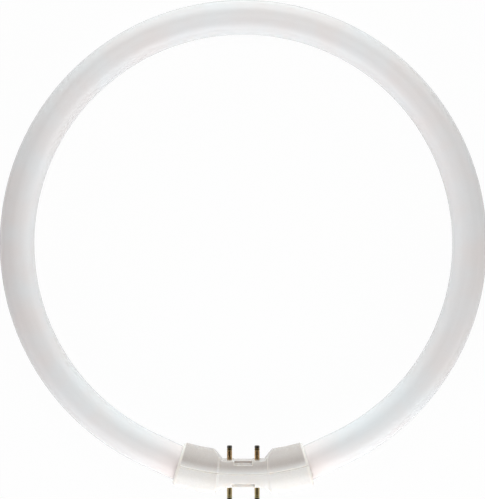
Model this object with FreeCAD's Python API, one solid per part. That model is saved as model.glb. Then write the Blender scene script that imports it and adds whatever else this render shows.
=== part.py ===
import FreeCAD, Part
import math
import os
from FreeCAD import Vector

# Circular fluorescent lamp: a bent 16 mm glass tube whose two ends meet in a moulded four-pin cap.
# Millimetres. The origin is the ring's centre on the tube's mid-plane, Z is the ring's axis and
# the cap is on the -Y side. Everything on the right is the left side mirrored in X.

# Glass tube
ring_outer_diameter = 225.0
tube_diameter = 16.0
bend_stop = 44.2               # sideways distance from the cap's middle to where each bend stops
insertion_depth = 10.4         # glass inside the cap, from a collar's mouth to the sealed end
exhaust_tip_diameter = 3.8
exhaust_tip_length = 4.0
seal_margin = 0.65             # flat glass left outside the lead wires

# Cap, outside
cap_half_width = 29.7          # sideways, from the cap's middle to the mouth of a collar
collar_wall = 1.9
collar_outset = 0.24           # the collar sits this much further out than the tube at its mouth
mouth_chamfer = 1.0
waist_recess = 0.7             # the waist is this much slimmer all round than the collars
step_half_width = 11.2         # sideways, from the cap's middle to the foot of the step to the waist
step_slope_width = 0.9         # the step slopes down by its depth over this run
step_slope_depth = 0.6
flat_half_width = 9.7
shoulder_run = 4.0             # sideways run of the slopes between the flats and the collars
flat_depth = 6.1               # from the cap's centre line to each pin flat

# Cap, inside
cement_gap = 0.4               # between the glass and the collar's bore
stop_rib = 1.2                 # rib behind the rounded end of the tube
waist_wall = 1.5
flat_wall = 2.0
parting_gap = 0.07
parting_edge_width = 0.35      # the inner shell's edge slopes down to the joint, front and back
parting_edge_depth = 0.3
parting_dip_width = 1.0        # the outer shell dips gently towards the joint
parting_dip_depth = 0.12
parting_waist_share = 0.5      # in the waist both are this much smaller
tongue_thickness = 0.5
tongue_height = 1.0
tongue_half_width = 18.0
tongue_clearance = 0.06
peg_diameter = 2.3
peg_length = 2.2
peg_clearance = 0.1
peg_wall = 0.95
peg_offset = 5.2               # above and below the mid-plane

# Latch recesses, in the front and back edges of both flats
latch_width = 8.5
latch_depth = 1.5
latch_draft = 0.5
latch_floor = 4.4              # height of the recess floor above the mid-plane
latch_wall = 1.3
outer_latch_flare = 1.8        # each end of the outer recess slopes out by this much

# Contact pins
pin_spacing = 12.7
pin_diameter = 2.35
pin_length = 6.56
pin_root_step = 0.225          # the root in the cap's wall is this much thicker all round
pin_root_setback = 0.1         # from the flat down to the root's shoulder
pin_clearance = 0.02
pin_bore_diameter = 0.75
pin_head_diameter = 4.0
pin_head_thickness = 0.8
pin_tail_length = 1.5
pin_tip_rounding = 0.45
pin_tip_thickness = 1.0
crimp_depth = 0.12
crimp_width = 0.4
crimp_from_tip = (1.45, 2.35)  # the two crimp rings, measured back from the tip

# Lead wires, their sleeves and the cement
wire_diameter = 0.5
wire_to_tip_gap = 0.75         # glass between the exhaust tip and a wire
wire_lane_gap = 1.4            # between the two wires where they run side by side
wire_approach = 4.0            # sideways length of the run that ends at the pin
wire_lead_run = 3.0            # straight run off the glass
wire_end_gap = 0.3             # from the end of the wire to the end of the pin's bore
sleeve_wall = 0.25
sleeve_clearance = 0.05
cement_skin = 0.05             # cement stays this far off the glass and the bore
cement_setback = 1.5           # from the collar's mouth to the cement
cement_end_margin = 1.0        # from the cement to where the end of the glass starts to round

# Worked out from the sizes above
tube_radius = tube_diameter / 2
tube_line = ring_outer_diameter / 2 - tube_radius
bend_angle = math.asin(bend_stop / tube_line)
mouth_angle = math.asin(cap_half_width / tube_line)
cap_line = tube_line / math.cos(bend_angle - mouth_angle) + collar_outset
mouth_along = tube_line * math.tan(bend_angle - mouth_angle)
straight_length = mouth_along + insertion_depth
bore_radius = tube_radius + cement_gap
collar_radius = bore_radius + collar_wall
waist_radius = collar_radius - waist_recess
cavity_radius = waist_radius - waist_wall
wire_radius = wire_diameter / 2
exhaust_radius = exhaust_tip_diameter / 2
wire_offset = exhaust_radius + wire_to_tip_gap + wire_radius
seal_radius = wire_offset + wire_radius + seal_margin
shoulder_radius = tube_radius - seal_radius
pin_radius = pin_diameter / 2
pin_root_radius = pin_radius + pin_root_step
pin_bore_radius = pin_bore_diameter / 2
pin_x = pin_spacing / 2
inner_flat_y = -(cap_line - flat_depth)
outer_flat_y = -(cap_line + flat_depth)
tail_depth = flat_wall + pin_head_thickness + pin_tail_length
tube_end = Vector(-bend_stop, -tube_line * math.cos(bend_angle), 0)
along_end = Vector(math.cos(bend_angle), -math.sin(bend_angle), 0)
seal_centre = tube_end + along_end * straight_length
big = 4 * collar_radius
z_axis = Vector(0, 0, 1)


def save(shape, name):
    solids = shape.Solids
    body = solids[0] if len(solids) == 1 else Part.makeCompound(solids)
    body.exportStep("parts/" + name + ".step")
    print(name, len(solids), "solid", round(shape.Volume, 1), "mm3", shape.isValid())


def mirrored(shape):
    return shape.mirror(Vector(0, 0, 0), Vector(1, 0, 0))


def ring_arc(line_radius, section_radius, start_angle, sweep_angle):
    # A round bar bent along part of a circle about the ring's axis; angles in degrees from +X.
    circle = Part.Circle(Vector(line_radius, 0, 0), Vector(0, 1, 0), section_radius)
    face = Part.Face(Part.Wire(circle.toShape()))
    bar = face.revolve(Vector(0, 0, 0), z_axis, sweep_angle)
    bar.rotate(Vector(0, 0, 0), z_axis, start_angle)
    return bar


def cap_arc(section_radius, half_angle):
    # A stretch of round bar on the cap's centre line, centred on -Y; half_angle in radians.
    half = math.degrees(half_angle)
    return ring_arc(cap_line, section_radius, -90 - half, 2 * half)


def turned(edges):
    # A profile of (along, radius) edges in the XY plane, turned about X.
    return Part.Face(Part.Wire(edges)).revolve(Vector(0, 0, 0), Vector(1, 0, 0), 360)


def profile(*points):
    # Straight edges through the points, and an arc wherever three points are given as one item.
    edges = []
    here = None
    for item in points:
        if len(item) == 3:
            a, b, c = [Vector(p[0], p[1], 0) for p in item]
            if here is not None and here.distanceToPoint(a) > 1e-7:
                edges.append(Part.LineSegment(here, a).toShape())
            edges.append(Part.Arc(a, b, c).toShape())
            here = c
            continue
        there = Vector(item[0], item[1], 0)
        if here is not None:
            edges.append(Part.LineSegment(here, there).toShape())
        here = there
    return edges


def on_tube_end(shape):
    # Takes a shape turned about X to the straight left end of the tube, with X along the tube.
    shape.rotate(Vector(0, 0, 0), z_axis, -math.degrees(bend_angle))
    shape.translate(tube_end)
    return shape


def quarter(centre_along, centre_radius, radius):
    # Three points of a quarter round from straight up to straight ahead of its centre.
    slant = radius * math.sqrt(0.5)
    return ((centre_along, centre_radius + radius),
            (centre_along + slant, centre_radius + slant),
            (centre_along + radius, centre_radius))


def prism(corners, half_height):
    # A flat outline in the XY plane carried from -half_height to +half_height.
    points = [Vector(x, y, -half_height) for x, y in corners]
    points.append(points[0])
    return Part.Face(Part.makePolygon(points)).extrude(Vector(0, 0, 2 * half_height))


def block(x0, x1, y0, y1, z0, z1):
    return Part.makeBox(x1 - x0, y1 - y0, z1 - z0, Vector(x0, y0, z0))


def upright_pair(shape):
    # The shape and its mirror image below the mid-plane.
    return [shape, shape.mirror(Vector(0, 0, 0), z_axis)]


# The glass: one bend, two straight ends with rounded shoulders, and an exhaust tip on each seal.
def tube_end_solid():
    tip_start = straight_length + exhaust_tip_length - exhaust_radius
    edges = profile(
        (0, 0),
        (0, tube_radius),
        quarter(straight_length - shoulder_radius, seal_radius, shoulder_radius),
        (straight_length, exhaust_radius),
        quarter(tip_start, 0, exhaust_radius),
        (0, 0))
    return on_tube_end(turned(edges))


def discharge_tube():
    stop = math.degrees(bend_angle)
    bend = ring_arc(tube_line, tube_radius, -90 + stop, 360 - 2 * stop)
    end = tube_end_solid()
    return bend.fuse([end, mirrored(end)]).removeSplitter()


# The cap's outside: two collars, a slimmer waist between them, and the two pin flats.
def step_cone():
    # A cone about the right collar's centre line that opens towards its mouth. What is left of the
    # collar inside it slopes down at the step.
    turn = math.asin(step_half_width / cap_line)
    slope = step_slope_depth / step_slope_width
    foot = collar_radius - step_slope_depth
    cone = Part.makeCone(foot - slope, foot + slope * cap_half_width, cap_half_width + 1,
                         Vector(-1, 0, 0), Vector(1, 0, 0))
    cone.rotate(Vector(0, 0, 0), z_axis, math.degrees(turn))
    cone.translate(Vector(step_half_width, -cap_line * math.cos(turn), 0))
    return cone


def collars():
    bar = cap_arc(collar_radius, mouth_angle)
    mouths = [e for e in bar.Edges
              if isinstance(e.Curve, Part.Circle) and abs(e.Curve.Radius - collar_radius) < 1e-6]
    bar = bar.makeChamfer(mouth_chamfer, mouths)
    right = bar.common(block(step_half_width, big, -big - cap_line, 0, -big, big))
    right = right.common(step_cone())
    return [right, mirrored(right)]


def flat_cutter(flat_y, outward, inset_x=0.0, inset_y=0.0):
    # The space in front of a pin flat and its two slopes. outward is +1 towards the ring's axis
    # and -1 away from it; the insets move the outline into the cap, to shape the cavity.
    edge = cap_line - outward * collar_radius
    slope_x = flat_half_width + shoulder_run
    rise = outward * (-math.sqrt(edge ** 2 - slope_x ** 2) - flat_y)
    y = flat_y - outward * inset_y
    x = flat_half_width + inset_x
    far_x = x + 2 * shoulder_run
    far_y = y + outward * 2 * rise
    top_y = far_y + outward * collar_radius
    return prism([(-x, y), (x, y), (far_x, far_y), (far_x, top_y), (-far_x, top_y), (-far_x, far_y)],
                 big)


def latch_cutters(flat_y, outward, flare):
    # The recess in the front edge of a flat, and the same in the back edge. The far wall leans
    # back by the draft, and the ends of the outer one slope out as well.
    half = latch_width / 2
    floor_y = flat_y - outward * latch_depth
    top_z = collar_radius
    top_y = floor_y - outward * latch_draft
    open_y = flat_y + outward * collar_radius
    bottom = [Vector(-half, open_y, latch_floor), Vector(half, open_y, latch_floor),
              Vector(half, floor_y, latch_floor), Vector(-half, floor_y, latch_floor)]
    wide = half + flare
    top = [Vector(-wide, open_y, top_z), Vector(wide, open_y, top_z),
           Vector(wide, top_y, top_z), Vector(-wide, top_y, top_z)]
    loops = [Part.makePolygon(loop + loop[:1]) for loop in (bottom, top)]
    return upright_pair(Part.makeLoft(loops, True, True))


def cap_outside():
    waist = cap_arc(waist_radius, mouth_angle * 0.8)
    body = waist.fuse(collars())
    cuts = [flat_cutter(inner_flat_y, 1), flat_cutter(outer_flat_y, -1)]
    cuts += latch_cutters(inner_flat_y, 1, 0.0)
    cuts += latch_cutters(outer_flat_y, -1, outer_latch_flare)
    return body.cut(cuts)


# The cap's inside: a bore for each end of the tube, ending in a rounded stop, and one cavity.
def tube_bore():
    round_start = straight_length - shoulder_radius
    round_radius = shoulder_radius + cement_gap
    reach = straight_length - stop_rib - round_start
    stop_radius = seal_radius + math.sqrt(round_radius ** 2 - reach ** 2)
    turn = math.asin(reach / round_radius) / 2
    middle = (round_start + round_radius * math.sin(turn),
              seal_radius + round_radius * math.cos(turn))
    edges = profile(
        (0, 0),
        (0, bore_radius),
        ((round_start, bore_radius), middle, (round_start + reach, stop_radius)),
        (straight_length + stop_rib, stop_radius),
        (straight_length + stop_rib, 0),
        (0, 0))
    return on_tube_end(turned(edges))


def cap_cavity():
    space = cap_arc(cavity_radius, mouth_angle * 0.9)
    behind_rib = on_tube_end(block(-big, straight_length, -big, big, -big, big))
    space = space.cut([behind_rib, mirrored(behind_rib)])
    inset_x = flat_wall * 0.6
    space = space.cut([flat_cutter(inner_flat_y, 1, inset_x, flat_wall),
                       flat_cutter(outer_flat_y, -1, inset_x, flat_wall)])
    backing = []
    for flat_y, outward, flare in ((inner_flat_y, 1, 0.0), (outer_flat_y, -1, outer_latch_flare)):
        half = latch_width / 2 + latch_wall + flare / 2
        ends = sorted([flat_y, flat_y - outward * (latch_depth + latch_draft + latch_wall)])
        backing += upright_pair(block(-half, half, ends[0], ends[1], latch_floor - latch_wall, big))
    return space.cut(backing)


def pin_holes():
    holes = []
    for x in (-pin_x, pin_x):
        top = inner_flat_y + flat_wall
        length = top - (outer_flat_y - flat_wall)
        holes.append(Part.makeCylinder(pin_root_radius + pin_clearance, length,
                                       Vector(x, outer_flat_y - flat_wall, 0), Vector(0, 1, 0)))
    return holes


def hollow_cap():
    bore = tube_bore()
    return cap_outside().cut([cap_cavity(), bore, mirrored(bore)] + pin_holes())


def parting_side(radius):
    # Everything nearer to the ring's axis than the given radius.
    return Part.makeCylinder(radius, 2 * big, Vector(0, 0, -big))


def tongue(clearance):
    # The rib along the joint of the two shells, or its groove when a clearance is given.
    middle = (cavity_radius + waist_radius) / 2
    half = tongue_thickness / 2 + clearance
    half_angle = math.asin((tongue_half_width + clearance) / cap_line)
    ring = cap_arc(middle + half, half_angle).cut(cap_arc(middle - half, half_angle))
    low = cap_line - tongue_height - clearance
    return ring.common(parting_side(cap_line + parting_gap).cut(parting_side(low)))


def parting_wedge(section_radius, half_angle, side, width, depth):
    # The wedge taken off a shell's outside edge along the joint, front and back. side is -1 for
    # the inner shell and +1 for the outer one.
    far = cap_line + side * (parting_gap / 2 + width)
    near = cap_line - side * parting_gap
    low = section_radius - depth / width * abs(far - near)
    corners = [Vector(far, 0, section_radius), Vector(far, 0, section_radius + 1),
               Vector(near, 0, section_radius + 1), Vector(near, 0, low)]
    wedge = Part.Face(Part.makePolygon(corners + corners[:1]))
    ring = wedge.revolve(Vector(0, 0, 0), z_axis, 2 * math.degrees(half_angle))
    ring.rotate(Vector(0, 0, 0), z_axis, -90 - math.degrees(half_angle))
    return upright_pair(ring)


def parting_wedges(side, width, depth):
    # The wedges of one shell: along the collars, and smaller ones along the waist.
    slim = block(-step_half_width, step_half_width, -big - cap_line, 0, -big, big)
    share = parting_waist_share
    waist = parting_wedge(waist_radius, mouth_angle, side, share * width, share * depth)
    return (parting_wedge(collar_radius, mouth_angle, side, width, depth)
            + [ring.common(slim) for ring in waist])


def along_y(radius, y0, y1, z, x=0.0):
    return Part.makeCylinder(radius, abs(y1 - y0), Vector(x, min(y0, y1), z), Vector(0, 1, 0))


backing_reach = latch_depth + latch_draft + latch_wall
inner_backing_y = inner_flat_y - backing_reach
outer_backing_y = outer_flat_y + backing_reach


def inner_shell(cap):
    # The half that faces the ring's axis: sockets for the pegs, and the groove for the tongue.
    shell = cap.common(parting_side(cap_line - parting_gap / 2))
    socket_radius = peg_diameter / 2 + peg_clearance
    joint_y = -(cap_line - parting_gap / 2)
    posts = [along_y(socket_radius + peg_wall, inner_backing_y, joint_y, z)
             for z in (-peg_offset, peg_offset)]
    shell = shell.fuse(posts)
    holes = [along_y(socket_radius, joint_y - 1, joint_y + peg_length + peg_clearance, z)
             for z in (-peg_offset, peg_offset)]
    wedges = parting_wedges(-1, parting_edge_width, parting_edge_depth)
    return shell.cut(holes + [tongue(tongue_clearance)] + wedges)


def outer_shell(cap):
    # The half that faces away from the ring: pegs on posts, and the tongue.
    shell = cap.cut(parting_side(cap_line + parting_gap / 2))
    shell = shell.cut(parting_wedges(1, parting_dip_width, parting_dip_depth))
    joint_y = -(cap_line + parting_gap / 2)
    post_radius = peg_diameter / 2 + peg_clearance + peg_wall
    added = [tongue(0.0)]
    for z in (-peg_offset, peg_offset):
        added.append(along_y(post_radius, outer_backing_y, joint_y, z))
        added.append(along_y(peg_diameter / 2, outer_backing_y, joint_y + peg_length, z))
    return shell.fuse(added).removeSplitter()


# A contact pin: hollow brass, pressed into the wall from inside by a thicker root up to its head,
# and crimped on its wire near the tip.
def contact_pin(x, flat_y, outward):
    tail = -tail_depth
    head = -flat_wall - pin_head_thickness
    tip = pin_length
    groove = pin_radius - crimp_depth
    rings = []
    for back in sorted(crimp_from_tip, reverse=True):
        rings += [(tip - back - crimp_width / 2, pin_radius), (tip - back, groove),
                  (tip - back + crimp_width / 2, pin_radius)]
    edges = profile(
        (tail, pin_bore_radius), (tail, pin_radius), (head, pin_radius),
        (head, pin_head_diameter / 2), (-flat_wall, pin_head_diameter / 2),
        (-flat_wall, pin_root_radius), (-pin_root_setback, pin_root_radius),
        (-pin_root_setback, pin_radius),
        *rings,
        quarter(tip - pin_tip_rounding, pin_radius - pin_tip_rounding, pin_tip_rounding),
        (tip, 0), (tip - pin_tip_thickness, 0), (tip - pin_tip_thickness, pin_bore_radius),
        (tail, pin_bore_radius))
    pin = turned(edges)
    pin.rotate(Vector(0, 0, 0), z_axis, 90 * outward)
    pin.translate(Vector(x, flat_y, 0))
    return pin


# A lead wire: straight runs joined by arcs, from the glass seal up into its pin. The inner pin's
# wire leaves the seal in front of the exhaust tip and the outer pin's wire behind it.
def wire_route(flat_y, outward):
    lane = -cap_line + outward * wire_lane_gap / 2
    start = seal_centre + z_axis * (outward * wire_offset)
    end_y = flat_y + outward * (pin_length - pin_tip_thickness - wire_end_gap)
    return [start, start + along_end * wire_lead_run, Vector(-pin_x - wire_approach, lane, 0),
            Vector(-pin_x, lane, 0), Vector(-pin_x, end_y, 0)]


def rounded_path(points, last_radius):
    # The edges of a path: runs joined by tangent arcs. The last corner's arc has its own radius.
    edges = []
    here = points[0]
    for i in range(1, len(points) - 1):
        before = (points[i - 1] - points[i]).normalize()
        after = (points[i + 1] - points[i]).normalize()
        half_turn = (math.pi - before.getAngle(after)) / 2
        shorter = min(points[i].distanceToPoint(points[i - 1]), points[i].distanceToPoint(points[i + 1]))
        radius = 0.45 * shorter / math.tan(half_turn)
        if i == len(points) - 2:
            radius = last_radius
        back = radius * math.tan(half_turn)
        first = points[i] + before * back
        last = points[i] + after * back
        inward = (before + after).normalize()
        centre = points[i] + inward * (radius / math.cos(half_turn))
        edges.append(Part.LineSegment(here, first).toShape())
        edges.append(Part.Arc(first, centre - inward * radius, last).toShape())
        here = last
    edges.append(Part.LineSegment(here, points[-1]).toShape())
    return edges


def wire_path(flat_y, outward):
    turn_radius = flat_depth - tail_depth - wire_lane_gap / 2
    return rounded_path(wire_route(flat_y, outward), turn_radius)


def swept(path, radius):
    # A round bar along a path of joined edges, square to its first edge.
    first = path.Edges[0]
    start = first.valueAt(first.FirstParameter)
    ahead = first.tangentAt(first.FirstParameter)
    section = Part.Wire(Part.Circle(start, ahead, radius).toShape())
    return path.makePipeShell([section], True, False)


def lead_wire(flat_y, outward):
    path = Part.Wire(wire_path(flat_y, outward))
    wire = swept(path, wire_radius)
    print("wire length", round(path.Length, 2), "volume ratio",
          round(wire.Volume / (math.pi * wire_radius ** 2 * path.Length), 4))
    return wire


def wire_sleeve(flat_y, outward):
    # An insulating tube on a wire's slanting run and on the bends at both its ends.
    path = Part.Wire(wire_path(flat_y, outward)[1:4])
    inside = wire_radius + sleeve_clearance
    return swept(path, inside + sleeve_wall).cut(swept(path, inside))


# Cement that holds the glass in the collar: a short band in the bore.
def cement_band():
    start = mouth_along + cement_setback
    end = straight_length - shoulder_radius - cement_end_margin
    inside = tube_radius + cement_skin
    outside = bore_radius - cement_skin
    return on_tube_end(turned(profile((start, inside), (start, outside), (end, outside),
                                      (end, inside), (start, inside))))


os.makedirs("parts", exist_ok=True)
save(discharge_tube(), "discharge_tube")
cap = hollow_cap()
save(inner_shell(cap), "inner_cap_shell")
save(outer_shell(cap), "outer_cap_shell")
for row, flat_y, outward in (("inner", inner_flat_y, 1), ("outer", outer_flat_y, -1)):
    pin = contact_pin(-pin_x, flat_y, outward)
    wire = lead_wire(flat_y, outward)
    sleeve = wire_sleeve(flat_y, outward)
    save(pin, row + "_pin_left")
    save(mirrored(pin), row + "_pin_right")
    save(wire, row + "_lead_wire_left")
    save(mirrored(wire), row + "_lead_wire_right")
    save(sleeve, row + "_wire_sleeve_left")
    save(mirrored(sleeve), row + "_wire_sleeve_right")
band = cement_band()
save(band, "cement_band_left")
save(mirrored(band), "cement_band_right")
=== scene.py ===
import bpy
import numpy as np
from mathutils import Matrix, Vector


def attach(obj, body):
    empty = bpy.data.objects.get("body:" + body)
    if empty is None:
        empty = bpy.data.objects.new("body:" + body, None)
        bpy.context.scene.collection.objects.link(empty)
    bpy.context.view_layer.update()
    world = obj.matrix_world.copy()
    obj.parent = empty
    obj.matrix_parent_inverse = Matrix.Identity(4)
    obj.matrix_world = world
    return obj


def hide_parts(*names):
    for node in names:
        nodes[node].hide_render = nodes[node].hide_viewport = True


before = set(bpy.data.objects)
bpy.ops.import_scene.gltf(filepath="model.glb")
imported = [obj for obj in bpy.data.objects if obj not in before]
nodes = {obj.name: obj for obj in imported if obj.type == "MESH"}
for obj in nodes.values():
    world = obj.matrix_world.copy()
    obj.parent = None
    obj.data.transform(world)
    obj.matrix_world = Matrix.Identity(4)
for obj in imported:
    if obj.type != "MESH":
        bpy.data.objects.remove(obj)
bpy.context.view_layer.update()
scene = bpy.context.scene
scene.view_settings.view_transform = "Standard"
mm = 0.001
noiseSpan = (0.3, 0.7)           # nearly all values of a noise texture lie between these
print("frame loaded,", len(nodes), "nodes")


# sRGB hex code to the linear colour that a socket takes
def hexToLinear(code):
    channels = np.array([int(code[i:i + 2], 16) for i in (1, 3, 5)]) / 255
    linear = np.where(channels <= 0.04045, channels / 12.92, ((channels + 0.055) / 1.055) ** 2.4)
    return (*linear.tolist(), 1.0)


# Adds one node: its settings by attribute name, then a value or a link for each input socket. A
# colour Mix takes its share at 0 and its two colours at 6 and 7, and gives the mixture at 2.
def addNode(tree, kind, settings={}, inputs={}):
    node = tree.nodes.new(kind)
    for name, value in settings.items():
        setattr(node, name, value)
    for key, value in inputs.items():
        if isinstance(value, bpy.types.NodeSocket):
            tree.links.new(value, node.inputs[key])
        else:
            node.inputs[key].default_value = value
    return node


# an empty material and its node tree, ready for a surface shader and its output
def newMaterial(name):
    material = bpy.data.materials.new(name)
    material.use_nodes = True
    material.node_tree.nodes.clear()
    return material, material.node_tree


# A closed tube-like mesh from a grid of points: rows follow each other along the piece, columns go
# round it. Every square of four neighbouring points is a face, and the last column joins the first.
# One point before the first row and one after the last row close the ends, each in a fan.
def closedGridMesh(name, grid, firstPole, lastPole):
    rows, columns = grid.shape[:2]
    points = np.vstack([firstPole, grid.reshape(-1, 3), lastPole])
    index = 1 + np.arange(rows * columns).reshape(rows, columns)
    across = np.roll(index, -1, axis=1)
    quads = np.stack([index[:-1], across[:-1], across[1:], index[1:]], axis=-1).reshape(-1, 4)
    startFan = np.stack([np.zeros(columns, int), across[0], index[0]], axis=-1)
    endFan = np.stack([np.full(columns, len(points) - 1), index[-1], across[-1]], axis=-1)
    loops = np.concatenate([quads.ravel(), startFan.ravel(), endFan.ravel()])
    sizes = np.concatenate([np.full(len(quads), 4), np.full(2 * columns, 3)])
    starts = np.concatenate([[0], np.cumsum(sizes)[:-1]])
    mesh = bpy.data.meshes.new(name)
    mesh.vertices.add(len(points))
    mesh.loops.add(len(loops))
    mesh.polygons.add(len(sizes))
    mesh.vertices.foreach_set("co", points.astype(np.float32).ravel())
    mesh.loops.foreach_set("vertex_index", loops.astype(np.int32))
    mesh.polygons.foreach_set("loop_start", starts.astype(np.int32))
    mesh.polygons.foreach_set("use_smooth", np.ones(len(sizes), bool))
    mesh.update(calc_edges=True)
    mesh.validate()
    return mesh


# a finished piece: object at the origin, riding on the lamp, standing for its CAD nodes
def addPiece(mesh, material, standsFor):
    piece = bpy.data.objects.new(mesh.name, mesh)
    scene.collection.objects.link(piece)
    mesh.materials.append(material)
    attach(piece, "root")
    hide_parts(*standsFor)


glassTube = {
    "ringDiameter": 225.0,       # mm, over the outside of the bend
    "tubeDiameter": 16.0,
    "bendStop": 44.2,            # sideways from the cap's middle to where the bend stops
    "capHalfWidth": 29.7,
    "glassInCap": 10.4,
    "sealRadius": 3.8,
    "tipDiameter": 3.8,          # exhaust tip on each seal
    "tipLength": 4.0,
    "tipFillet": 0.25,           # soft corner where the tip leaves the seal
    "skin": 0.015,               # kept inside the CAD solid by this much
    "wave": 0.045,               # drawn glass is never quite even: this much slimmer in places
    "slimmingLimit": 0.4,        # but never by more than this share of the radius
    "slowWave": (23.0, 61.0),    # mm of tube per radian of the slow wave, and of its drift
    "quickWave": (9.5, 70.0),    # the same for a quicker wave, and for its twist round the tube
    "quickShare": 0.6,           # height of the quick wave against the slow one
    "rows": {"ball": 9, "fillet": 5, "shoulder": 13, "straight": 26, "bend": 760},
    "columns": 72,
}


# The tube is a circle carried along a line that runs straight, round 310 degrees of the ring and
# straight again. Along it the radius grows from the exhaust tip's half ball to the flat seal, round
# the shoulder to the full tube, and the same backwards at the other end. A point is the line's
# point plus the radius times (cosine towards the ring's outside, sine upwards).
def bentTubeMesh(d):
    tubeRadius = d["tubeDiameter"] / 2
    lineRadius = d["ringDiameter"] / 2 - tubeRadius
    bendAngle = np.arcsin(d["bendStop"] / lineRadius)
    mouthAngle = np.arcsin(d["capHalfWidth"] / lineRadius)
    straight = lineRadius * np.tan(bendAngle - mouthAngle) + d["glassInCap"]
    tipRadius = d["tipDiameter"] / 2
    shoulder = tubeRadius - d["sealRadius"]
    endLength = straight + d["tipLength"]
    bendLength = lineRadius * (2 * np.pi - 2 * bendAngle)

    # distance from the very end and radius there, for one end
    rows = d["rows"]
    ball = np.linspace(0, np.pi / 2, rows["ball"])[1:]
    fillet = np.linspace(0, np.pi / 2, rows["fillet"])[1:]
    turn = np.linspace(0, np.pi / 2, rows["shoulder"])
    filletStart = d["tipLength"] - d["tipFillet"]
    alongTip = np.concatenate([tipRadius * (1 - np.cos(ball)), [filletStart]])
    radiusTip = np.concatenate([tipRadius * np.sin(ball), [tipRadius]])
    alongFillet = filletStart + d["tipFillet"] * np.sin(fillet)
    radiusFillet = tipRadius + d["tipFillet"] * (1 - np.cos(fillet))
    alongTurn = d["tipLength"] + shoulder * (1 - np.cos(turn))
    radiusTurn = d["sealRadius"] + shoulder * np.sin(turn)
    alongStraight = np.linspace(d["tipLength"] + shoulder, endLength, rows["straight"])[1:]
    radiusStraight = np.full(len(alongStraight), tubeRadius)
    alongEnd = np.concatenate([alongTip, alongFillet, alongTurn, alongStraight])
    radiusEnd = np.concatenate([radiusTip, radiusFillet, radiusTurn, radiusStraight])

    # both ends and the bend as one list of rows
    bend = np.linspace(0, bendLength, rows["bend"])[1:-1]
    total = 2 * endLength + bendLength
    along = np.concatenate([alongEnd, endLength + bend, (total - alongEnd)[::-1]])
    radius = np.concatenate([radiusEnd, np.full(len(bend), tubeRadius), radiusEnd[::-1]])

    # the line's point, its direction and its outward normal at each row
    turned = np.clip((along - endLength) / lineRadius, 0, 2 * np.pi - 2 * bendAngle)
    angle = -np.pi / 2 - bendAngle - turned
    before = np.minimum(along - endLength, 0)
    after = np.maximum(along - endLength - bendLength, 0)
    outward = np.stack([np.cos(angle), np.sin(angle), 0 * angle], axis=1)
    ahead = np.stack([np.sin(angle), -np.cos(angle), 0 * angle], axis=1)
    line = outward * lineRadius + ahead * (before + after)[:, None]

    # slight unevenness of drawn and bent glass, slow along the tube and round it
    around = np.linspace(0, 2 * np.pi, d["columns"], endpoint=False)
    a, s = np.meshgrid(around, along)
    slow, drift = d["slowWave"]
    quick, twist = d["quickWave"]
    wave = (np.sin(s / slow + 2.0 * np.sin(s / drift)) * np.cos(a - 0.7)
            + d["quickShare"] * np.sin(s / quick + 1.3) * np.cos(2 * a + s / twist))
    slimmer = d["skin"] + d["wave"] * (wave / (1 + d["quickShare"]) + 1) / 2
    reach = radius[:, None] - np.minimum(slimmer, d["slimmingLimit"] * radius[:, None])
    up = np.array([0.0, 0.0, 1.0])
    grid = (line[:, None] + reach[..., None] * (np.cos(a)[..., None] * outward[:, None]
                                                + np.sin(a)[..., None] * up))
    firstPole = line[0] + ahead[0] * (d["skin"] - along[0])
    lastPole = line[-1] + ahead[-1] * (total - d["skin"] - along[-1])
    mesh = closedGridMesh("bent_glass_tube", grid * mm, firstPole * mm, lastPole * mm)

    # where each point was while the tube was still straight, in metres: the coat ran down it then
    inner = np.stack([radius[:, None] * np.cos(a), radius[:, None] * np.sin(a), s], axis=-1)
    unbent = np.vstack([[0, 0, 0], inner.reshape(-1, 3), [0, 0, total]]) * mm
    attribute = mesh.attributes.new("straightTube", "FLOAT_VECTOR", "POINT")
    attribute.data.foreach_set("vector", unbent.astype(np.float32).ravel())
    return mesh, float(total)


# Phosphor-coated soda glass, drawn and bent: a matt white powder coat seen through clear polished
# glass. The eye gets a soft white with faint rosy and bluish clouds, lengthwise runs left by the
# draining coat, a powdery grain and slightly warmer ends, under a clear gloss that whitens towards
# the edges. A narrow grey rim is painted at the very edge as shade, where the tube turns away.
coatedGlass = {
    "coat": "#EAE8E7",
    "rosy": "#E8DCDA",
    "cool": "#E3E9EE",
    "evenShare": 0.68,           # share of the plain coat in the clouded one
    "cloudSize": 22.0,           # mm
    "cloudSpan": (0.35, 0.65),   # stretch of the noise over which rosy turns to cool
    "runWidth": 1.6,             # mm across a drain run
    "runStretch": 40.0,          # times longer than it is wide
    "grainSize": 0.9,            # mm; the powder's own grain is finer than the render shows
    "shade": (0.99, 1.005),      # darkest and lightest of the runs, and of the grain
    "warmEnd": "#F0E5E2",           # the coat turns a little warmer towards each end of the tube
    "warmEndReach": (16.0, 36.0),   # mm from the tube's end: still full, and gone
    # painted shade: the grey of the rim along the tube's silhouette
    "edgeShade": "#AEB4B3",
    "edgeShadeShows": (0.74, 0.9),    # how far the glass has turned away from the eye: the painted edge shade starts, and is full
    "powder": {"Roughness": 0.75, "IOR": 1.45, "Specular IOR Level": 0.1},
    "polish": {"Coat Weight": 1.0, "Coat Roughness": 0.2, "Coat IOR": 1.52},
}


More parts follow.
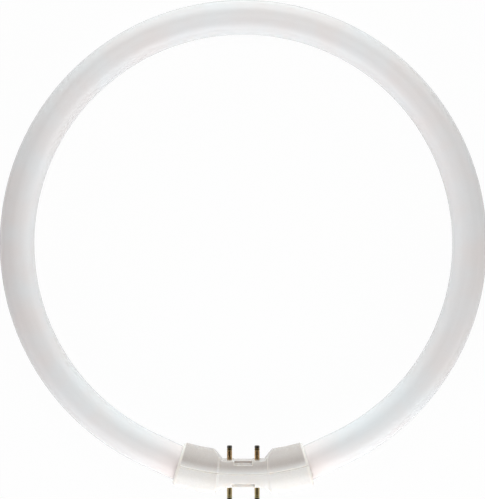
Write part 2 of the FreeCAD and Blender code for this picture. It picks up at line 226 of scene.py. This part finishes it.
def coatedGlassMaterial(d, tubeLength):
    material, tree = newMaterial("phosphor_coated_glass")
    tube = addNode(tree, "ShaderNodeAttribute", {"attribute_name": "straightTube"})
    unbent = tube.outputs["Vector"]
    clouds = addNode(tree, "ShaderNodeTexNoise", {}, {
        "Vector": unbent, "Scale": 1 / (d["cloudSize"] * mm), "Detail": 2.0, "Roughness": 0.55})
    stretched = addNode(tree, "ShaderNodeMapping", {}, {
        "Vector": unbent, "Scale": (1, 1, 1 / d["runStretch"])})
    runs = addNode(tree, "ShaderNodeTexNoise", {}, {
        "Vector": stretched.outputs[0], "Scale": 1 / (d["runWidth"] * mm), "Detail": 2.0})
    grain = addNode(tree, "ShaderNodeTexNoise", {}, {
        "Vector": unbent, "Scale": 1 / (d["grainSize"] * mm), "Detail": 3.0, "Roughness": 0.6})
    rosyEnd, coolEnd = d["cloudSpan"]
    coolShare = addNode(tree, "ShaderNodeMapRange", {"clamp": True}, {
        "Value": clouds.outputs["Fac"], "From Min": rosyEnd, "From Max": coolEnd})
    tint = addNode(tree, "ShaderNodeMix", {"data_type": "RGBA"}, {
        0: coolShare.outputs[0], 6: hexToLinear(d["rosy"]), 7: hexToLinear(d["cool"])})
    coat = addNode(tree, "ShaderNodeMix", {"data_type": "RGBA"}, {
        0: d["evenShare"], 6: tint.outputs[2], 7: hexToLinear(d["coat"])})
    low, high = noiseSpan
    dark, light = d["shade"]
    runShade = addNode(tree, "ShaderNodeMapRange", {}, {
        "Value": runs.outputs["Fac"], "From Min": low, "From Max": high,
        "To Min": dark, "To Max": light})
    grainShade = addNode(tree, "ShaderNodeMapRange", {}, {
        "Value": grain.outputs["Fac"], "From Min": low, "From Max": high,
        "To Min": dark, "To Max": light})
    shade = addNode(tree, "ShaderNodeMath", {"operation": "MULTIPLY"}, {
        0: runShade.outputs[0], 1: grainShade.outputs[0]})
    # how far a point is from the tube's middle, measured along it, tells how near an end it is
    alongTube = addNode(tree, "ShaderNodeSeparateXYZ", {}, {0: unbent})
    pastMiddle = addNode(tree, "ShaderNodeMath", {"operation": "SUBTRACT"}, {
        0: alongTube.outputs[2], 1: tubeLength / 2 * mm})
    fromMiddle = addNode(tree, "ShaderNodeMath", {"operation": "ABSOLUTE"}, {
        0: pastMiddle.outputs[0]})
    full, gone = [(tubeLength / 2 - reach) * mm for reach in d["warmEndReach"]]
    ends = addNode(tree, "ShaderNodeMapRange", {"interpolation_type": "SMOOTHSTEP"}, {
        "Value": fromMiddle.outputs[0], "From Min": gone, "From Max": full})
    warmEnd = addNode(tree, "ShaderNodeMix", {"data_type": "RGBA"}, {
        0: ends.outputs[0], 6: coat.outputs[2], 7: hexToLinear(d["warmEnd"])})
    shaded = addNode(tree, "ShaderNodeMix", {"data_type": "RGBA", "blend_type": "MULTIPLY"}, {
        0: 1.0, 6: warmEnd.outputs[2], 7: shade.outputs[0]})
    # painted shade: at the very edge, where the tube turns away from the eye, the colour turns grey
    turned = addNode(tree, "ShaderNodeLayerWeight", {}, {"Blend": 0.5})
    start, full = d["edgeShadeShows"]
    edgeShadeOn = addNode(tree, "ShaderNodeMapRange", {"clamp": True}, {
        "Value": turned.outputs["Facing"], "From Min": start, "From Max": full})
    colour = addNode(tree, "ShaderNodeMix", {"data_type": "RGBA"}, {
        0: edgeShadeOn.outputs[0], 6: shaded.outputs[2], 7: hexToLinear(d["edgeShade"])})
    shader = addNode(tree, "ShaderNodeBsdfPrincipled", {}, {
        "Base Color": colour.outputs[2], **d["powder"], **d["polish"]})
    addNode(tree, "ShaderNodeOutputMaterial", {}, {"Surface": shader.outputs[0]})
    return material


tubeMesh, tubeLength = bentTubeMesh(glassTube)
addPiece(tubeMesh, coatedGlassMaterial(coatedGlass, tubeLength), ["discharge_tube"])
print("glass tube made")


contactPin = {
    "diameter": 2.35,            # mm
    "standsOut": 6.56,
    "rootDiameter": 2.8,
    "rootSetback": 0.1,
    "wall": 2.0,
    "headDiameter": 4.0,
    "headThickness": 0.8,
    "tail": 1.5,
    "bore": 0.75,
    "tipRounding": 0.45,
    "tipThickness": 1.0,
    "crimpDepth": 0.12,
    "crimpWidth": 0.42,
    "crimpsFromTip": (1.45, 2.35),
    "solderDimple": 0.1,         # the solder's end is a little hollow in its middle
    "softEdge": 0.05,            # every turned edge is broken by this much
    "burr": 0.01,                # and the inner corners by about this much
    "skin": 0.004,               # kept inside the CAD solid by this much
    "rows": {"body": 150, "rounding": 10, "dimple": 7},
    "columns": 48,
}
flats = {"inner": (-99.8036, 1), "outer": (-112.0036, -1)}   # mm: y of each pin flat, and its side
pinX = {"left": -6.35, "right": 6.35}


# Distance along the pin from the flat, and radius, from the bottom of the bore round the tail, head
# and root and up to the tip. A crimp ring is a dip of the radius by a raised cosine.
def pinProfile(d):
    radius = d["diameter"] / 2 - d["skin"]
    root = d["rootDiameter"] / 2 - d["skin"]
    head = d["headDiameter"] / 2 - d["skin"]
    bore = d["bore"] / 2
    tip = d["standsOut"] - d["skin"]
    boreEnd = tip - d["tipThickness"]
    headFront = -d["wall"]
    headBack = headFront - d["headThickness"]
    tailEnd = headBack - d["tail"]
    rootEnd = -d["rootSetback"]
    soft, burr, rows = d["softEdge"], d["burr"], d["rows"]
    body = np.linspace(rootEnd, tip - d["tipRounding"], rows["body"])
    dip = np.zeros_like(body)
    for back in d["crimpsFromTip"]:
        off = np.clip(np.abs(body - (d["standsOut"] - back)) / (d["crimpWidth"] / 2), 0, 1)
        dip += d["crimpDepth"] * 0.5 * (1 + np.cos(np.pi * off))
    turn = np.linspace(0, np.pi / 2, rows["rounding"])[1:]
    flatTip = radius - d["tipRounding"]
    dimple = np.linspace(1, 0, rows["dimple"])[1:-1]
    # from the bore's bottom round the tail, the head and the root, up to the pin's round body
    corners = [
        (boreEnd, bore * 0.5), (boreEnd, bore * 0.98), (boreEnd - 2 * burr, bore),
        (tailEnd + soft, bore), (tailEnd, bore + soft), (tailEnd, radius - soft),
        (tailEnd + soft, radius), (headBack - soft, radius), (headBack, radius + soft),
        (headBack, head - soft), (headBack + soft, head), (headFront - soft, head),
        (headFront, head - soft), (headFront, root + burr), (headFront + burr, root),
        (rootEnd - soft, root), (rootEnd - d["skin"], root - soft),
        (rootEnd - d["skin"], radius + burr / 2)]
    along = np.concatenate([
        [c[0] for c in corners], body,
        tip - d["tipRounding"] + d["tipRounding"] * np.sin(turn),
        tip - d["solderDimple"] * (1 - dimple ** 2)])
    reach = np.concatenate([
        [c[1] for c in corners], radius - dip,
        flatTip + d["tipRounding"] * np.cos(turn),
        flatTip * dimple])
    return along, reach, boreEnd, tip - d["solderDimple"]


# The profile turned round the pin's own axis: a point is the axis point plus the radius times
# (sine sideways, cosine upwards). The axis runs along Y, towards the ring or away from it.
def pinMesh(name, d, x, flatY, outward):
    along, reach, boreEnd, tipEnd = pinProfile(d)
    around = outward * np.linspace(0, 2 * np.pi, d["columns"], endpoint=False)
    a, s = np.meshgrid(around, along)
    r = reach[:, None]
    grid = np.stack([x + r * np.sin(a), flatY + outward * s, r * np.cos(a)], axis=-1)
    first = np.array([x, flatY + outward * boreEnd, 0])
    last = np.array([x, flatY + outward * tipEnd, 0])
    mesh = closedGridMesh(name, grid * mm, first * mm, last * mm)
    straight = np.stack([r * np.sin(a), r * np.cos(a), s], axis=-1).reshape(-1, 3)
    own = np.vstack([[0, 0, boreEnd], straight, [0, 0, tipEnd]]) * mm
    attribute = mesh.attributes.new("alongPin", "FLOAT_VECTOR", "POINT")
    attribute.data.foreach_set("vector", own.astype(np.float32).ravel())
    return mesh


# Drawn cartridge brass, turned and crimped, its end sealed with solder: a warm yellow metal with
# fine drawing lines along it, dull olive round the crimps, and a dark grey solder-wetted end. The
# outer pins are dull all over. The dull tone is painted lighter on the outer row, which faces the
# south light, and darker on the inner row, as painted light and shade.
drawnBrass = {
    "brass": "#DDBB8C",
    # the dull tone per row: darker on the inner pins as painted shade, lighter on the outer pins as
    # painted light
    "dullLitShaded": {"inner": "#7C6B49", "outer": "#A1966C"},
    "solder": "#6B6862",
    "solderLength": 1.25,        # mm back from the tip, where the solder has wetted the brass
    "solderFade": 0.15,
    "dullLength": 2.9,           # mm back from the tip, over the two crimp rings
    "dullFade": 0.8,
    "raggedness": 0.7,           # mm that the edges of solder and dull stretch wander
    "blotch": 1.3,               # mm
    "blotchSpan": (0.42, 0.72),  # stretch of the noise over which bright turns to dull
    "blotchDullness": 0.9,
    "polish": {"inner": 1.0, "outer": 0.25},  # how bright the metal has stayed between blotches
    "lineWidth": 0.09,           # mm between drawing lines
    "lineStretch": 25.0,         # times longer than they are wide
    "lineDepth": 0.01,           # mm
    "lineStrength": 0.25,
    "roughness": (0.17, 0.38),   # bright and dull
}


def drawnBrassMaterial(row, d, pin):
    material, tree = newMaterial(f"drawn_brass_{row}_pins")
    own = addNode(tree, "ShaderNodeAttribute", {"attribute_name": "alongPin"}).outputs["Vector"]
    blotches = addNode(tree, "ShaderNodeTexNoise", {}, {
        "Vector": own, "Scale": 1 / (d["blotch"] * mm), "Detail": 3.0})
    drawn = addNode(tree, "ShaderNodeMapping", {}, {
        "Vector": own, "Scale": (1, 1, 1 / d["lineStretch"])})
    lines = addNode(tree, "ShaderNodeTexNoise", {}, {
        "Vector": drawn.outputs[0], "Scale": 1 / (d["lineWidth"] * mm), "Detail": 1.0})
    # the blotches shift the edges of the solder and of the dull stretch, so neither is a clean ring
    alongPin = addNode(tree, "ShaderNodeSeparateXYZ", {}, {0: own})
    ragged = addNode(tree, "ShaderNodeMath", {"operation": "MULTIPLY_ADD"}, {
        0: blotches.outputs["Fac"], 1: d["raggedness"] * mm, 2: alongPin.outputs[2]})
    solderStart = (pin["standsOut"] - d["solderLength"] + d["raggedness"] / 2) * mm
    dullStart = (pin["standsOut"] - d["dullLength"] + d["raggedness"] / 2) * mm
    nearTip = addNode(tree, "ShaderNodeMapRange", {"clamp": True}, {
        "Value": ragged.outputs[0], "From Min": dullStart,
        "From Max": dullStart + d["dullFade"] * mm})
    bright, dull = d["blotchSpan"]
    spots = addNode(tree, "ShaderNodeMapRange", {"clamp": True}, {
        "Value": blotches.outputs["Fac"], "From Min": bright, "From Max": dull,
        "To Min": 1 - d["polish"][row], "To Max": d["blotchDullness"]})
    dullness = addNode(tree, "ShaderNodeMath", {"operation": "MAXIMUM"}, {
        0: nearTip.outputs[0], 1: spots.outputs[0]})
    # dull tone of this row, with its painted light and shade
    metal = addNode(tree, "ShaderNodeMix", {"data_type": "RGBA"}, {
        0: dullness.outputs[0], 6: hexToLinear(d["brass"]), 7: hexToLinear(d["dullLitShaded"][row])})
    wetted = addNode(tree, "ShaderNodeMapRange", {"clamp": True}, {
        "Value": ragged.outputs[0], "From Min": solderStart,
        "From Max": solderStart + d["solderFade"] * mm})
    colour = addNode(tree, "ShaderNodeMix", {"data_type": "RGBA"}, {
        0: wetted.outputs[0], 6: metal.outputs[2], 7: hexToLinear(d["solder"])})
    smoothest, roughest = d["roughness"]
    roughness = addNode(tree, "ShaderNodeMapRange", {}, {
        "Value": dullness.outputs[0], "To Min": smoothest, "To Max": roughest})
    bump = addNode(tree, "ShaderNodeBump", {}, {
        "Strength": d["lineStrength"], "Distance": d["lineDepth"] * mm,
        "Height": lines.outputs["Fac"]})
    shader = addNode(tree, "ShaderNodeBsdfPrincipled", {}, {
        "Base Color": colour.outputs[2], "Metallic": 1.0, "Roughness": roughness.outputs[0],
        "Normal": bump.outputs[0]})
    addNode(tree, "ShaderNodeOutputMaterial", {}, {"Surface": shader.outputs[0]})
    return material


for row, (flatY, outward) in flats.items():
    brassMaterial = drawnBrassMaterial(row, drawnBrass, contactPin)
    for side, x in pinX.items():
        node = f"{row}_pin_{side}"
        mesh = pinMesh(f"turned_{node}", contactPin, x, flatY, outward)
        addPiece(mesh, brassMaterial, [node])
print("contact pins made")


# Injection-moulded polyester (PBT), from a finely eroded mould: a warm greyish white plastic with a
# soft gloss and a fine even texture. Light goes a little way into it, so the grooves stay soft. The
# inner half is painted darker and warmer as shade, fading to the outer half's tone near the joint.
# Its rounded edges, the wall at each mouth and the lips of the joint carry a paler painted
# highlight, and faint flow clouds run through it.
mouldedPbt = {
    "inner": {"plastic": "#CBC1BB", "flow": "#C6BBB5"},    # painted shade: the inner half's tones darker and warmer than the outer half's
    "outer": {"plastic": "#E7E2DE", "flow": "#E1DCD7"},
    # painted highlight: the paler colour laid on edges, mouths and the joint's lips
    "paleHighlight": "#F8F0E9",
    "flowSize": 9.0,             # mm
    "sparkGrain": 0.35,          # mm; real eroded texture is about 0.1 mm, drawn coarser to show
    "sparkDepth": 0.02,          # mm
    "sparkStrength": 0.06,
    "roughness": (0.25, 0.29),   # on the grain's hollows and on its tops
    "edgeRadius": 0.22,          # mm
    "highlightEdgeReach": 0.55,       # mm from an edge to where the painted highlight ends
    "edgeTurn": (0.98, 0.94),    # cosine between rounded and true face: pale starts, and is full
    "highlightMouth": (0.7, 1.5),     # mm from the mouth to the end of the full pale and of its fade
    "jointRadius": 105.9,        # mm from the ring's centre to the joint between the halves
    "highlightJoint": (0.3, 0.65),    # mm either side of the joint, full pale and end of its fade
    "jointShadeFade": (0.3, 3.8),      # mm from the joint over which the inner half's painted shade fades out
    "lightShare": 0.6,           # share of the light that goes into the plastic
    "lightReach": 0.6,           # mm that it wanders in there
    "lightColour": (1.0, 0.9, 0.8),  # red wanders furthest
    "ior": 1.55,
}


# The joint is an arc about the ring's centre, so the distance from it is the length of (x, y) less
# the arc's radius, taken as positive.
def jointDistance(tree, place, radius):
    flat = addNode(tree, "ShaderNodeVectorMath", {"operation": "MULTIPLY"}, {
        0: place, 1: (1, 1, 0)})
    fromCentre = addNode(tree, "ShaderNodeVectorMath", {"operation": "LENGTH"}, {
        0: flat.outputs[0]})
    beyond = addNode(tree, "ShaderNodeMath", {"operation": "SUBTRACT"}, {
        0: fromCentre.outputs["Value"], 1: radius * mm})
    distance = addNode(tree, "ShaderNodeMath", {"operation": "ABSOLUTE"}, {0: beyond.outputs[0]})
    return distance.outputs[0]


# The mouth of each collar lies on a ray from the ring's centre, so the distance from it is the tube
# line's radius times the angle left to that ray. The angle is that of (sideways, towards the cap).
def mouthDistance(tree, place, tube):
    split = addNode(tree, "ShaderNodeSeparateXYZ", {}, {0: place})
    sideways = addNode(tree, "ShaderNodeMath", {"operation": "ABSOLUTE"}, {0: split.outputs[0]})
    towardsCap = addNode(tree, "ShaderNodeMath", {"operation": "MULTIPLY"}, {
        0: split.outputs[1], 1: -1.0})
    angle = addNode(tree, "ShaderNodeMath", {"operation": "ARCTAN2"}, {
        0: sideways.outputs[0], 1: towardsCap.outputs[0]})
    lineRadius = (tube["ringDiameter"] - tube["tubeDiameter"]) / 2
    mouthAngle = float(np.arcsin(tube["capHalfWidth"] / lineRadius))
    distance = addNode(tree, "ShaderNodeMath", {"operation": "MULTIPLY_ADD"}, {
        0: angle.outputs[0], 1: -lineRadius * mm, 2: mouthAngle * lineRadius * mm})
    return distance.outputs[0]


def mouldedPbtMaterial(half, d):
    material, tree = newMaterial(f"moulded_pbt_{half}_half")
    place = addNode(tree, "ShaderNodeTexCoord").outputs["Object"]
    flow = addNode(tree, "ShaderNodeTexNoise", {}, {
        "Vector": place, "Scale": 1 / (d["flowSize"] * mm), "Detail": 2.0, "Distortion": 0.6})
    spark = addNode(tree, "ShaderNodeTexNoise", {}, {
        "Vector": place, "Scale": 1 / (d["sparkGrain"] * mm), "Detail": 2.0})
    # each half's tones, the inner half's painted darker as shade
    clouded = addNode(tree, "ShaderNodeMix", {"data_type": "RGBA"}, {
        0: flow.outputs["Fac"], 6: hexToLinear(d[half]["plastic"]),
        7: hexToLinear(d[half]["flow"])})
    # painted shade fading: towards the joint the inner half turns as light as the outer one
    toJoint = jointDistance(tree, place, d["jointRadius"])
    full, end = d["jointShadeFade"]
    jointShadeFade = addNode(tree, "ShaderNodeMapRange", {"interpolation_type": "SMOOTHSTEP"}, {
        "Value": toJoint, "From Min": end * mm, "From Max": full * mm})
    plastic = addNode(tree, "ShaderNodeMix", {"data_type": "RGBA"}, {
        0: jointShadeFade.outputs[0], 6: clouded.outputs[2], 7: hexToLinear(d["outer"]["plastic"])})
    # painted highlight: near an edge the widely rounded normal turns away from the true one, and
    # there the paler colour goes on
    wide = addNode(tree, "ShaderNodeBevel", {"samples": 16}, {"Radius": d["highlightEdgeReach"] * mm})
    surface = addNode(tree, "ShaderNodeNewGeometry")
    agree = addNode(tree, "ShaderNodeVectorMath", {"operation": "DOT_PRODUCT"}, {
        0: wide.outputs[0], 1: surface.outputs["Normal"]})
    start, full = d["edgeTurn"]
    nearEdge = addNode(tree, "ShaderNodeMapRange", {"clamp": True}, {
        "Value": agree.outputs["Value"], "From Min": start, "From Max": full})
    toMouth = mouthDistance(tree, place, glassTube)
    full, end = d["highlightMouth"]
    nearMouth = addNode(tree, "ShaderNodeMapRange", {"clamp": True}, {
        "Value": toMouth, "From Min": end * mm, "From Max": full * mm})
    full, end = d["highlightJoint"]
    nearJoint = addNode(tree, "ShaderNodeMapRange", {"clamp": True}, {
        "Value": toJoint, "From Min": end * mm, "From Max": full * mm})
    edgeOrMouth = addNode(tree, "ShaderNodeMath", {"operation": "MAXIMUM"}, {
        0: nearEdge.outputs[0], 1: nearMouth.outputs[0]})
    highlightMask = addNode(tree, "ShaderNodeMath", {"operation": "MAXIMUM"}, {
        0: edgeOrMouth.outputs[0], 1: nearJoint.outputs[0]})
    # painted highlight on the edges, the mouths and the joint's lips
    colour = addNode(tree, "ShaderNodeMix", {"data_type": "RGBA"}, {
        0: highlightMask.outputs[0], 6: plastic.outputs[2], 7: hexToLinear(d["paleHighlight"])})
    low, high = noiseSpan
    smoothest, roughest = d["roughness"]
    roughness = addNode(tree, "ShaderNodeMapRange", {}, {
        "Value": spark.outputs["Fac"], "From Min": low, "From Max": high,
        "To Min": smoothest, "To Max": roughest})
    edges = addNode(tree, "ShaderNodeBevel", {"samples": 12}, {"Radius": d["edgeRadius"] * mm})
    bump = addNode(tree, "ShaderNodeBump", {}, {
        "Strength": d["sparkStrength"], "Distance": d["sparkDepth"] * mm,
        "Height": spark.outputs["Fac"], "Normal": edges.outputs[0]})
    shader = addNode(tree, "ShaderNodeBsdfPrincipled", {}, {
        "Base Color": colour.outputs[2], "Roughness": roughness.outputs[0], "IOR": d["ior"],
        "Subsurface Weight": d["lightShare"], "Subsurface Radius": d["lightColour"],
        "Subsurface Scale": d["lightReach"] * mm, "Normal": bump.outputs[0]})
    addNode(tree, "ShaderNodeOutputMaterial", {}, {"Surface": shader.outputs[0]})
    return material


# Nickel-plated iron wire, drawn: a grey metal with a soft shine and slightly duller patches.
platedWire = {
    "tones": ("#A9A49C", "#8C8780"),
    "mottle": 0.6,               # mm, size of a patch
    "relief": 0.01,              # mm, height of its surface
    "finish": {"Metallic": 1.0, "Roughness": 0.35},
}

# Extruded silicone sleeving: milky white rubber, slightly waxy and dusty.
siliconeSleeve = {
    "tones": ("#E4E2DC", "#D9D6CE"),
    "mottle": 0.8,
    "relief": 0.02,
    "finish": {"Roughness": 0.5, "IOR": 1.41},
}

# Cured silicone cement: chalky off-white, lumpy where it was squeezed in.
siliconeCement = {
    "tones": ("#F0EDE6", "#E4E0D6"),
    "mottle": 1.2,
    "relief": 0.08,
    "finish": {"Roughness": 0.8, "IOR": 1.41},
}


# two tones in soft patches, slightly raised, with the rest of the finish set on the shader
def mottledMaterial(name, d):
    material, tree = newMaterial(name)
    place = addNode(tree, "ShaderNodeTexCoord").outputs["Object"]
    mottle = addNode(tree, "ShaderNodeTexNoise", {}, {
        "Vector": place, "Scale": 1 / (d["mottle"] * mm), "Detail": 3.0})
    main, second = d["tones"]
    colour = addNode(tree, "ShaderNodeMix", {"data_type": "RGBA"}, {
        0: mottle.outputs["Fac"], 6: hexToLinear(main), 7: hexToLinear(second)})
    bump = addNode(tree, "ShaderNodeBump", {}, {
        "Strength": 0.3, "Distance": d["relief"] * mm, "Height": mottle.outputs["Fac"]})
    shader = addNode(tree, "ShaderNodeBsdfPrincipled", {}, {
        "Base Color": colour.outputs[2], "Normal": bump.outputs[0], **d["finish"]})
    addNode(tree, "ShaderNodeOutputMaterial", {}, {"Surface": shader.outputs[0]})
    return material


nodeMaterials = {
    "inner_cap_shell": mouldedPbtMaterial("inner", mouldedPbt),
    "outer_cap_shell": mouldedPbtMaterial("outer", mouldedPbt),
    "lead_wire": mottledMaterial("plated_iron_wire", platedWire),
    "wire_sleeve": mottledMaterial("silicone_sleeve", siliconeSleeve),
    "cement_band": mottledMaterial("silicone_cement", siliconeCement),
}
for name, node in nodes.items():
    for part, material in nodeMaterials.items():
        if part in name:
            for materialSlot in node.material_slots:
                materialSlot.material = material
print("cap and its inside finished")


studio = {
    "floorZ": -10.35,            # mm: just under the lowest point of the cap
    "floorSize": 3.0,            # m
    "floorColour": "#E8E8E8",
    "whiteSeen": 0.965,          # share of the floor's look that is even white light
    "whiteInGloss": 0.86,        # the same in reflections
}


def addFloor(d):
    half, z = d["floorSize"] / 2, d["floorZ"] * mm
    mesh = bpy.data.meshes.new("studio_floor")
    mesh.from_pydata([(-half, -half, z), (half, -half, z), (half, half, z), (-half, half, z)],
                     [], [(0, 1, 2, 3)])
    floor = bpy.data.objects.new("studio_floor", mesh)
    scene.collection.objects.link(floor)
    # matt white paper; the camera, gloss and glass see it as mostly even white
    material, tree = newMaterial("white_paper")
    path = addNode(tree, "ShaderNodeLightPath")
    mirrored = addNode(tree, "ShaderNodeMath", {"operation": "MAXIMUM"}, {
        0: path.outputs["Is Glossy Ray"], 1: path.outputs["Is Transmission Ray"]})
    inGloss = addNode(tree, "ShaderNodeMath", {"operation": "MULTIPLY"}, {
        0: mirrored.outputs[0], 1: d["whiteInGloss"]})
    share = addNode(tree, "ShaderNodeMath", {"operation": "MULTIPLY_ADD"}, {
        0: path.outputs["Is Camera Ray"], 1: d["whiteSeen"], 2: inGloss.outputs[0]})
    paper = addNode(tree, "ShaderNodeBsdfDiffuse", {}, {"Color": hexToLinear(d["floorColour"])})
    glow = addNode(tree, "ShaderNodeEmission", {}, {"Color": (1, 1, 1, 1), "Strength": 1.0})
    mix = addNode(tree, "ShaderNodeMixShader", {}, {
        0: share.outputs[0], 1: paper.outputs[0], 2: glow.outputs[0]})
    addNode(tree, "ShaderNodeOutputMaterial", {}, {"Surface": mix.outputs[0]})
    mesh.materials.append(material)


# A dim, warm room with one brighter patch. A patch is full at its own direction and fades smoothly
# to nothing where the cosine from it falls to the edge value.
roomLight = {
    "colour": "#FFDAD0",
    "strength": 0.15,
    "ceiling": "#3A3733",        # as gloss mirrors it, round the camera; the walls are white
    "wallTop": 0.3,              # sine of the height at which the white walls begin to darken
    "ceilingEdge": 0.85,
}
roomPatches = {
    # name: direction, cosine at its edge and at its full part, colour, strength
    "north": ((0.0, 0.866, 0.5), 0.2, 1.0, "#FFFCF6", 0.41),
}


def addBackdrop(room, patches):
    world = bpy.data.worlds.new("white_room")
    scene.world = world
    world.use_nodes = True
    tree = world.node_tree
    tree.nodes.clear()
    direction = addNode(tree, "ShaderNodeTexCoord").outputs["Generated"]
    light = addNode(tree, "ShaderNodeVectorMath", {"operation": "SCALE"}, {
        0: hexToLinear(room["colour"])[:3], "Scale": room["strength"]}).outputs[0]
    for towards, edge, full, colour, strength in patches.values():
        cosine = addNode(tree, "ShaderNodeVectorMath", {"operation": "DOT_PRODUCT"}, {
            0: direction, 1: towards})
        fade = addNode(tree, "ShaderNodeMapRange", {"interpolation_type": "SMOOTHSTEP"}, {
            "Value": cosine.outputs["Value"], "From Min": edge, "From Max": full})
        patch = addNode(tree, "ShaderNodeVectorMath", {"operation": "SCALE"}, {
            0: [strength * c for c in hexToLinear(colour)[:3]], "Scale": fade.outputs[0]})
        light = addNode(tree, "ShaderNodeVectorMath", {"operation": "ADD"}, {
            0: light, 1: patch.outputs[0]}).outputs[0]
    lit = addNode(tree, "ShaderNodeBackground", {}, {"Color": light, "Strength": 1.0})
    # the camera sees plain white; metal and glass mirror white walls under a dark ceiling
    upwards = addNode(tree, "ShaderNodeSeparateXYZ", {}, {0: direction}).outputs[2]
    overhead = addNode(tree, "ShaderNodeMapRange", {"interpolation_type": "SMOOTHSTEP"}, {
        "Value": upwards, "From Min": room["wallTop"], "From Max": room["ceilingEdge"]})
    path = addNode(tree, "ShaderNodeLightPath")
    mirrored = addNode(tree, "ShaderNodeMath", {"operation": "MAXIMUM"}, {
        0: path.outputs["Is Glossy Ray"], 1: path.outputs["Is Transmission Ray"]})
    darkened = addNode(tree, "ShaderNodeMath", {"operation": "MULTIPLY"}, {
        0: overhead.outputs[0], 1: mirrored.outputs[0]})
    walls = addNode(tree, "ShaderNodeMix", {"data_type": "RGBA"}, {
        0: darkened.outputs[0], 6: (1, 1, 1, 1), 7: hexToLinear(room["ceiling"])})
    seen = addNode(tree, "ShaderNodeBackground", {}, {"Color": walls.outputs[2], "Strength": 1.0})
    looked = addNode(tree, "ShaderNodeMath", {"operation": "MAXIMUM"}, {
        0: mirrored.outputs[0], 1: path.outputs["Is Camera Ray"]})
    mix = addNode(tree, "ShaderNodeMixShader", {}, {
        0: looked.outputs[0], 1: lit.outputs[0], 2: seen.outputs[0]})
    addNode(tree, "ShaderNodeOutputWorld", {}, {"Surface": mix.outputs[0]})


softboxes = {
    # name: place in m, the place that it is aimed at, width and height in m, watts, colour
    "north": ((0.0, 0.580, 0.155), (0.0, 0.0, 0.0), (1.3, 0.2), 2.4, "#E8FAFF"),
    "north near": ((0.0, 0.130, 0.250), (0.0, 0.0, 0.0), (0.25, 0.1), 0.3, "#F7FDFF"),
    "south": ((0.0, -0.580, 0.155), (0.0, 0.0, 0.0), (1.3, 0.2), 3.5, "#F3FBFF"),
    "south near": ((0.0, -0.395, 0.144), (0.0, 0.0, 0.0), (0.5, 0.15), 0.54, "#F3FCFF"),
    "south-east": ((0.365, -0.365, 0.188), (0.0, 0.0, 0.0), (0.5, 0.25), 0.32, "#FAFFFA"),
    "inside the ring": ((0.0, -0.05, 0.05), (0.0, -0.11, 0.0), (0.12, 0.03), 0.0155, "#D2F4FF"),
}


def addSoftbox(name, place, aim, size, watts, colour):
    light = bpy.data.lights.new("softbox_" + name, "AREA")
    light.shape = "RECTANGLE"
    light.size, light.size_y = size
    light.energy = watts
    light.color = hexToLinear(colour)[:3]
    lamp = bpy.data.objects.new("softbox_" + name, light)
    lamp.location = place
    lamp.rotation_mode = "QUATERNION"
    lamp.rotation_quaternion = (Vector(aim) - Vector(place)).to_track_quat("-Z", "Y")
    lamp.visible_camera = False
    lamp.visible_glossy = False              # gloss mirrors the white room, not the boxes
    scene.collection.objects.link(lamp)


addFloor(studio)
addBackdrop(roomLight, roomPatches)
for name, values in softboxes.items():
    addSoftbox(name, *values)
print("studio lit")


viewpoint = {
    "place": (-0.37, -2.77, 1000.0),     # mm: straight above, very slightly off the ring's centre
    "framed": 230.5,                     # mm of the ring's plane from top to bottom of the picture
    "sensor": 36.0,                      # mm
    "sees": (0.01, 50.0),                # m, nearest and furthest
}
camera = bpy.data.cameras.new("camera")
camera.sensor_width = viewpoint["sensor"]
camera.lens = viewpoint["sensor"] * viewpoint["place"][2] / viewpoint["framed"]
camera.clip_start, camera.clip_end = viewpoint["sees"]
cameraObject = bpy.data.objects.new("camera", camera)
cameraObject.location = Vector(viewpoint["place"]) * mm
scene.collection.objects.link(cameraObject)
scene.camera = cameraObject
print("camera set")
